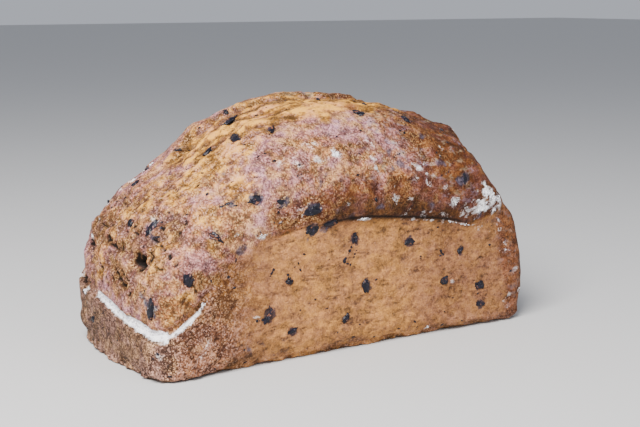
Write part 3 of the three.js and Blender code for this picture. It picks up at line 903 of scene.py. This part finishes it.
def new_finish(name):
    """An empty material, and the first wire among its nodes."""
    material = bpy.data.materials.new(name)
    material.use_nodes = True
    return material, Wire(material.node_tree.nodes)


def dress(piece, material, values):
    """Sets the sockets of the material's Principled shader and puts it on the piece."""
    feed(material.node_tree.nodes["Principled BSDF"].inputs, values)
    piece.data.materials.append(material)


def bumped(height, strength, distance):
    """Fine relief for the Normal socket: heights from 0 to 1, over a distance in mm."""
    values = {"Strength": strength, "Distance": distance * MM, "Height": height}
    return height.node("ShaderNodeBump", {}, values)


def in_mm(wire, *stretch):
    """The place on the piece in mm, stretched along x, y and z where three numbers say so."""
    place = wire.node("ShaderNodeTexCoord", out=3)
    scale = tuple(s / MM for s in stretch or (1, 1, 1))
    return wire.node("ShaderNodeVectorMath", {"operation": "MULTIPLY"}, {0: place, 1: scale})


def mottle(place, size, detail=2.0, rough=0.5):
    """Noise from 0 to 1 with spots of about size mm."""
    values = {"Vector": place, "Scale": 0.5 / size, "Detail": detail, "Roughness": rough}
    return place.node("ShaderNodeTexNoise", {"noise_dimensions": "3D"}, values)


def grains(place, size):
    """A random number from 0 to 1 for each grain of about size mm."""
    values = {"Vector": place, "Scale": 1 / size}
    return place.node("ShaderNodeTexVoronoi", {"feature": "F1"}, values, out=1)

# %% [markdown]
# ## The crust's finish
#
# Baked crust is matt, and its colour changes at every scale: slow clouds where the oven was
# hotter, patches of a few millimetres, and a fine grain of bran and flour. Most masks have
# noise added before `eased` cuts them, so that a zone thins out into specks at its edge.

# %% Crust colours
# Three shades of each kind of crust, dark, middle and pale. Noise and the relief pick among them,
# so pits get painted shade and proud parts a painted highlight
TIN_TAN = [(0.1, 0.046, 0.02), (0.34, 0.15, 0.048), (0.58, 0.26, 0.07)]
TIN_ROSE = [(0.07, 0.03, 0.015), (0.235, 0.1, 0.04), (0.4, 0.18, 0.065)]
TIN_CORNER = [(0.035, 0.012, 0.005), (0.108, 0.04, 0.016), (0.4, 0.17, 0.075)]
TIN_END = [(0.026, 0.013, 0.008), (0.077, 0.036, 0.021), (0.27, 0.15, 0.1)]
# Painted shade for the scoop's recess
SCOOP_SHADE = [(0.055, 0.018, 0.005), (0.112, 0.042, 0.01), (0.32, 0.14, 0.04)]
DOUGH = [(0.07, 0.03, 0.016), (0.2, 0.075, 0.038), (0.6, 0.24, 0.1)]
MAUVE = [(0.085, 0.043, 0.039), (0.21, 0.092, 0.08), (0.52, 0.27, 0.24)]
# Browned crust, also used as painted shade under the roll
BAKED_AND_ROLL_SHADE = [(0.028, 0.008, 0.003), (0.088, 0.025, 0.008), (0.22, 0.08, 0.032)]
RUST = [(0.04, 0.013, 0.005), (0.12, 0.038, 0.012), (0.25, 0.095, 0.038)]
# Dark brown for the ear's browning and for painted shade over the crease
BURNT_AND_CREASE_SHADE = [(0.022, 0.008, 0.004), (0.062, 0.021, 0.009), (0.12, 0.045, 0.018)]
CRUMB = [(0.07, 0.03, 0.01), (0.24, 0.102, 0.023), (0.68, 0.33, 0.08)]
FLOUR, FLOUR_SHADE, SMEAR = (0.93, 0.93, 0.94), (0.68, 0.66, 0.73), (0.44, 0.34, 0.32)
# Pale specks: flour grains, and painted glints
SPECK_AND_GLINT = (0.78, 0.45, 0.29)
OLIVE_STAIN, SMUDGED = (0.022, 0.018, 0.03), (0.1, 0.088, 0.12)
# Painted shade for the deepest hollows
CREVICE_SHADE = (0.006, 0.003, 0.002)
GOLD_TINT, MAUVE_TINT = (1, 1, 0.6), (0.9, 0.84, 1.25)

crust_finish, wire = new_finish("crust")
place = in_mm(wire)


def mask(name):
    settings = {"attribute_type": "GEOMETRY", "attribute_name": name}
    return wire.node("ShaderNodeAttribute", settings, out=2)


def shades(tone, colours):
    """The colour for a tone from 0 to 1, through a kind of crust's three shades."""
    stops = list(zip((0.0, 0.5, 1.0), colours))
    return tone.node("ShaderNodeValToRGB", {"stops": stops}, {0: tone})


clouds = mottle(place, 22) - 0.5
patchy = mottle(place, 6, 3, 0.6) - 0.5
blotch = mottle(place, 2.4, 3, 0.6) - 0.5
smear = mottle(in_mm(wire, 0.7, 0.9, 1.2), 2.4, 4, 0.7) - 0.5
grain = grains(place, 0.95) * 0.65 + grains(place, 2) * 0.35 - 0.5
# Grains for the pale specks and painted glints
speck_and_glint_grains = grains(in_mm(wire, 1.07, 0.94, 1), 0.8)
hue = mottle(in_mm(wire, 0.8, 1.1, 1), 3.4) * 0.6
hue += mottle(in_mm(wire, 0.8, 1.1, 0.9), 12) * 0.4
streaks = mottle(in_mm(wire, 0.16, 1, 1), 2.2, 3, 0.6) - 0.5
strokes = mottle(in_mm(wire, 0.33, 0.8, 1), 1) * 0.5
strokes += mottle(in_mm(wire, 0.35, 0.8, 1), 2.2, 1) * 0.5
dark_strokes, pale_strokes = strokes.eased(0.55, 0.64), strokes.eased(0.45, 0.36)

# %% Crust tones and zones
# Painted shade in low relief and a painted highlight on high relief
relief_shade = mask("raised") - 0.5
tone = 0.46 + clouds * 0.6 + patchy * 1.1 + blotch * 1.1 + grain * 1.35 + relief_shade * 0.9
wall_tone = 0.5 + clouds * 0.6 + patchy * 0.9 + blotch + grain * 0.8
wall_tone += relief_shade * 0.7 - dark_strokes * 0.32 + pale_strokes * 0.25
rosy = (mask("wall_rose") + clouds * 0.8 + patchy * 0.7).eased(0.1, 0.9)
wall = rosy.blend(shades(wall_tone, TIN_TAN), shades(wall_tone, TIN_ROSE))
wall = mask("corner").blend(wall, shades(tone, TIN_CORNER))
wall = mask("end_wall").blend(wall, shades(tone, TIN_END))
wall = (mask("rusty") + patchy * 0.9 + blotch * 0.4).eased(0.3, 0.7).blend(wall, shades(tone, RUST))
dusted = (mask("dusting") * 0.8 + clouds * 1.8 + patchy * 1.2 + relief_shade * 0.8).eased(0.3, 1)
dough = dusted.blend(shades(tone, DOUGH), shades(tone, MAUVE))
torn = (mask("torn") + patchy * 0.9 + clouds * 0.6 + blotch * 0.4).eased(0.25, 0.75)
dough = torn.blend(dough, shades(tone - grain * 0.6 + streaks * 3.4, CRUMB))
# Browned crust, and painted shade under the roll
browned_and_roll_shade = (mask("baked") + patchy * 0.7 + clouds * 0.5).eased(0.15, 0.75)
dough = browned_and_roll_shade.blend(dough, shades(tone - grain * 0.5, BAKED_AND_ROLL_SHADE))
colour = mask("free").blend(wall, dough)
# Painted shade in the scoop
colour = mask("scoop").blend(colour, shades(tone, SCOOP_SHADE))
# Painted shade over the crease, and the ear's browning
colour = (mask("burnt") + patchy * 0.6).eased(0.15, 0.7).blend(colour, shades(tone, BURNT_AND_CREASE_SHADE))
smeared = (smear + clouds * 0.3).eased(0.02, 0.17) * mask("smeared")
colour = (smeared * 0.5).blend(colour, SMEAR)
stained = (mask("stain") + blotch * 1.4 + grain * 0.6).eased(0.35, 0.7)
colour = (stained * 0.9).blend(colour, OLIVE_STAIN)
# Pale specks of flour, and painted glints
pale_specks_and_glints = (speck_and_glint_grains + blotch * 0.6 + patchy * 0.4).eased(0.4, 1.15) * mask("speckled")
colour = (pale_specks_and_glints * 0.85).blend(colour, SPECK_AND_GLINT)

# %% Crust tints, smudges and flour
gilded = (hue + mask("torn") * 0.05 + mask("baked") * 0.03).eased(0.41, 0.59)
tint = gilded.blend(MAUVE_TINT, GOLD_TINT)
colour = (0.35 + 0.5 * mask("free")).blend(colour, tint, "MULTIPLY")
smudged = (mask("smudge") + blotch * 1.2 + streaks * 0.6).eased(0.3, 0.75)
blue_grey = (blotch + grain * 0.7).eased(-0.2, 0.35).blend(OLIVE_STAIN, SMUDGED)
colour = (smudged * 0.8).blend(colour, blue_grey)
floured = mask("flour") * 1.25 + grain * 0.9 + blotch * 2.4 + smear * 1.2
thick = floured.eased(0.5, 1.2) * mask("flour").eased(0.02, 0.2)
thick *= 0.45 + 0.55 * mask("flour").eased(0.55, 0.9)
colour = thick.blend(colour, (blotch + 0.5).eased(0.3, 0.5).blend(FLOUR_SHADE, FLOUR))
# Painted shade in bubbles, pits and the crease
colour = mask("dark").eased(0.15, 0.9).blend(colour, CREVICE_SHADE)

height = 0.5 * grain + 1.1 * blotch - 0.3 * dark_strokes + 0.3 * thick
dress(loaf, crust_finish, {
    "Base Color": colour, "Roughness": 0.7 + 0.2 * thick + 0.2 * grain,
    "Specular IOR Level": 0.14, "Normal": bumped(height, 0.7, 1.1),
})
print("nodes in the crust's finish:", len(crust_finish.node_tree.nodes))

# %% [markdown]
# ## Olive pieces as lumps
#
# A lump starts as a small ball of triangles. Noise dents it, and then it is flattened and
# laid on the crust. All the lumps are one mesh, as they are one kind of topping.

# %% Olive lumps
import bmesh


def ball(subdivisions):
    made = bmesh.new()
    bmesh.ops.create_icosphere(made, subdivisions=subdivisions, radius=1)
    corners = np.array([v.co for v in made.verts])
    faces = np.array([[v.index for v in f.verts] for f in made.faces])
    made.free()
    return corners, faces


class Heap:
    """Many small pieces gathered into one mesh."""

    def __init__(self):
        self.points, self.faces, self.count = [], [], 0

    def add(self, points, faces):
        self.points.append(points)
        self.faces.append(faces + self.count)
        self.count += len(points)

    def made(self, name):
        points = np.clip(np.concatenate(self.points), box_low, box_high)
        return mesh_object(name, points, np.concatenate(self.faces).tolist())


def laid(corners, place, normal, turn, size):
    """Corners scaled to size, turned about the normal, and laid at a place of the crust."""
    along = np.cross(np.cross(normal, (1, 0, 0)), normal)
    along = along / np.linalg.norm(along)
    aside = np.cross(normal, along)
    u = math.cos(turn) * along + math.sin(turn) * aside
    v = math.cos(turn) * aside - math.sin(turn) * along
    return place + SHIFT + corners * size @ np.array([u, v, normal])


def on_crust(places):
    """The same places after the relief has moved the crust."""
    nearest = [((skin - place) ** 2).sum(1).argmin() for place in places]
    return places + outward[nearest] * moved[nearest, None]


OLIVE_SINK, OLIVE_HEIGHT = 0.4, 1.2  # mm
olive_ball, olive_faces = ball(4)
pieces = Heap()
for number, (place, half, turn) in enumerate(olives):
    dents = 1 + 0.6 * noise(olive_ball + 7.3 * number, 0.8, 21)
    dents += 0.3 * noise(olive_ball + 7.3 * number, 0.33, 22)
    lump = olive_ball * dents[:, None]
    normal = facing(place[None, :])[0]
    slim = 0.34 + 0.34 * (number * 0.618 % 1)
    size = np.array([half, slim * half, min(0.4 * half, OLIVE_HEIGHT)])
    seat = on_crust(place[None, :])[0] - OLIVE_SINK * normal
    pieces.add(laid(lump, seat, normal, turn, size), olive_faces)
print("corners of the olive lumps:", pieces.count)

# %% [markdown]
# ## Olive skins and specks
#
# Some olives show only the edge of their skin, a thin dark arc, which is a row of small
# lumps along a line of pixels. Many tiny bits were crushed into the dough.

# %% Skins and specks
# Each arc: its half width in mm, then its pixels
ARCS = [
    (0.9, [(355, 232), (354, 240), (350, 250), (344, 262)]),
    (1.1, [(474, 283), (480, 285), (486, 290)]), (1, [(268, 306), (269, 314), (264, 319), (257, 321)]),
    (0.9, [(276, 239), (272, 246), (267, 253)]), (0.8, [(221, 207), (229, 203), (236, 207)]),
    (0.8, [(248, 202), (256, 200), (264, 198)]), (0.8, [(146, 229), (152, 227), (160, 227)]),
    (0.8, [(441, 250), (443, 255)]), (0.9, [(228, 278), (232, 272)]),
    (0.7, [(270, 276), (273, 270), (276, 268)]), (0.9, [(288, 275), (289, 281)]),
    (0.7, [(362, 238), (352, 262), (348, 268)]), (0.7, [(239, 345), (244, 350)]),
    (0.7, [(296, 176), (302, 173)]), (0.8, [(356, 128), (362, 131)]),
    (0.7, [(392, 158), (397, 154), (404, 153)]), (0.7, [(440, 176), (448, 172)]),
    (0.7, [(300, 208), (308, 206), (316, 203)]), (0.8, [(149, 238), (155, 236), (161, 234)]),
    (0.9, [(412, 320), (416, 322)]), (0.9, [(437, 326), (443, 325)]),
]
ARC_SINK, ARC_LUMP = 0.25, np.array([1.3, 1, 0.55])
lump_ball, lump_faces = ball(2)
for half_width, pixels in ARCS:
    stations = crust_at(pixels)
    lengths = np.linalg.norm(np.diff(stations, axis=0), axis=1)
    run = np.concatenate([[0], np.cumsum(lengths)])
    count = int(run[-1] / (0.7 * half_width)) + 2
    ways = np.linspace(0, run[-1], count)
    line = np.stack([np.interp(ways, run, stations[:, axis]) for axis in range(3)], 1)
    for step, (place, normal) in enumerate(zip(on_crust(line), facing(line))):
        swell = half_width * (0.9 + 0.6 * cell_number(np.array([[step, count, 3]]), 4)[0])
        seat = place - ARC_SINK * normal
        pieces.add(laid(lump_ball, seat, normal, step, ARC_LUMP * swell), lump_faces)

SPECK_SEED, SPECKS = 31, 620
dice = np.random.default_rng(SPECK_SEED)
speck_ball, speck_faces = ball(1)
chosen = dice.choice(len(walls) + len(lid), SPECKS, replace=False)
for place, normal in zip(skin[chosen] + outward[chosen] * moved[chosen, None], outward[chosen]):
    half = 0.35 + 1.3 * dice.uniform() ** 2
    size = np.array([half, half * dice.uniform(0.3, 0.7), 0.35])
    pieces.add(laid(speck_ball, place, normal, dice.normal(0, 0.6), size), speck_faces)
olive_pieces = pieces.made("olive_pieces")
print("faces of olive:", len(olive_pieces.data.polygons))

# %% Olive finish
OLIVE_BLACK, OLIVE_PURPLE = (0.003, 0.003, 0.007), (0.01, 0.008, 0.016)
OLIVE_BLOOM = (0.12, 0.13, 0.2)
olive_finish, wire = new_finish("olive")
place = in_mm(wire)
colour = mottle(place, 1.6).eased(0.4, 0.65).blend(OLIVE_BLACK, OLIVE_PURPLE)
bloom = mottle(place, 0.9, 3, 0.7).eased(0.6, 0.75)
colour = (bloom * 0.5).blend(colour, OLIVE_BLOOM)
crumbs = mottle(place, 1.8, 3, 0.7).eased(0.61, 0.65)
colour = (crumbs * 0.85).blend(colour, DOUGH[1])
dress(olive_pieces, olive_finish, {
    "Base Color": colour, "Roughness": 0.3 + 0.4 * bloom,
    "Specular IOR Level": 0.25, "Normal": bumped(mottle(place, 0.8, 3), 0.5, 0.4),
})
print("nodes in the olives' finish:", len(olive_finish.node_tree.nodes))

# %% [markdown]
# ## Flour
#
# Thick flour clumps, and the clumps catch the light. They are small lumps strewn where the
# flour mask is high, largest in the split.

# %% Flour clumps
FLOUR_SEED, CLUMPS, THICK_FLOUR = 41, 900, 0.7
dice = np.random.default_rng(FLOUR_SEED)
likely = flour[: len(walls) + len(lid)]
likely = np.where(likely > THICK_FLOUR, likely, 0)
chosen = dice.choice(len(likely), CLUMPS, replace=True, p=likely / likely.sum())
clumps = Heap()
for number in chosen:
    half = dice.uniform(0.35, 1.0) * (1.25 if in_split[number] > 0.5 else 0.8)
    jitter = dice.uniform(-0.7, 0.7, 3)
    place = skin[number] + outward[number] * (moved[number] - 0.2) + jitter
    size = np.array([half, half * dice.uniform(0.6, 1), half * 0.5])
    turn = dice.uniform(0, math.pi)
    clumps.add(laid(speck_ball, place, outward[number], turn, size), speck_faces)
flour_clumps = clumps.made("flour_clumps")
print("faces of flour:", len(flour_clumps.data.polygons))

flour_finish, wire = new_finish("flour")
place = in_mm(wire)
colour = mottle(place, 0.9, 3).eased(0.35, 0.65).blend(FLOUR_SHADE, FLOUR)
bump = bumped(mottle(place, 0.4), 0.6, 0.3)
dress(flour_clumps, flour_finish, {"Base Color": colour, "Roughness": 0.95, "Normal": bump})

# %% [markdown]
# ## On the part
#
# The crust, the olives and the flour all ride with the loaf and stand for its one node.

# %% Riding on the part
for piece in (loaf, olive_pieces, flour_clumps):
    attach(piece, "root")
    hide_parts("loaf")

# %% [markdown]
# ## Floor and light
#
# A plain pale floor and soft light: a wide key from the upper left, in front, a weak fill
# from the right, and a pale surrounding for the shadows.

# %% Floor
FLOOR_HALF, FLOOR_LEVEL = 8000.0, -0.4
corners = [(-1, -1), (1, -1), (1, 1), (-1, 1)]
corners = [(FLOOR_HALF * u, FLOOR_HALF * v, FLOOR_LEVEL) for u, v in corners]
floor = mesh_object("floor", corners, [[0, 1, 2, 3]])
floor_finish, wire = new_finish("floor")
dress(floor, floor_finish, {"Base Color": (0.54, 0.54, 0.54, 1), "Roughness": 0.9})

# %% Lights
LIT_HEIGHT = 60.0  # the lights look at this height in mm, over the middle of the floor


def soft_light(name, place, size, watts, colour):
    made = bpy.data.lights.new(name, "AREA")
    made.size = size * MM
    made.energy = watts
    made.color = colour
    aimed(name, made, place, Vector((0, 0, LIT_HEIGHT)) - Vector(place))


soft_light("key", (-700, -500, 900), 600, 41, (1, 0.97, 0.94))
soft_light("fill", (500, -1100, 500), 900, 4.8, (0.95, 0.97, 1))
world = bpy.data.worlds.new("studio")
world.use_nodes = True
surrounding = world.node_tree.nodes["Background"].inputs
surrounding["Color"].default_value = (0.86, 0.9, 1, 1)
surrounding["Strength"].default_value = 0.54
bpy.context.scene.world = world
print("lights:", len(bpy.data.lights))
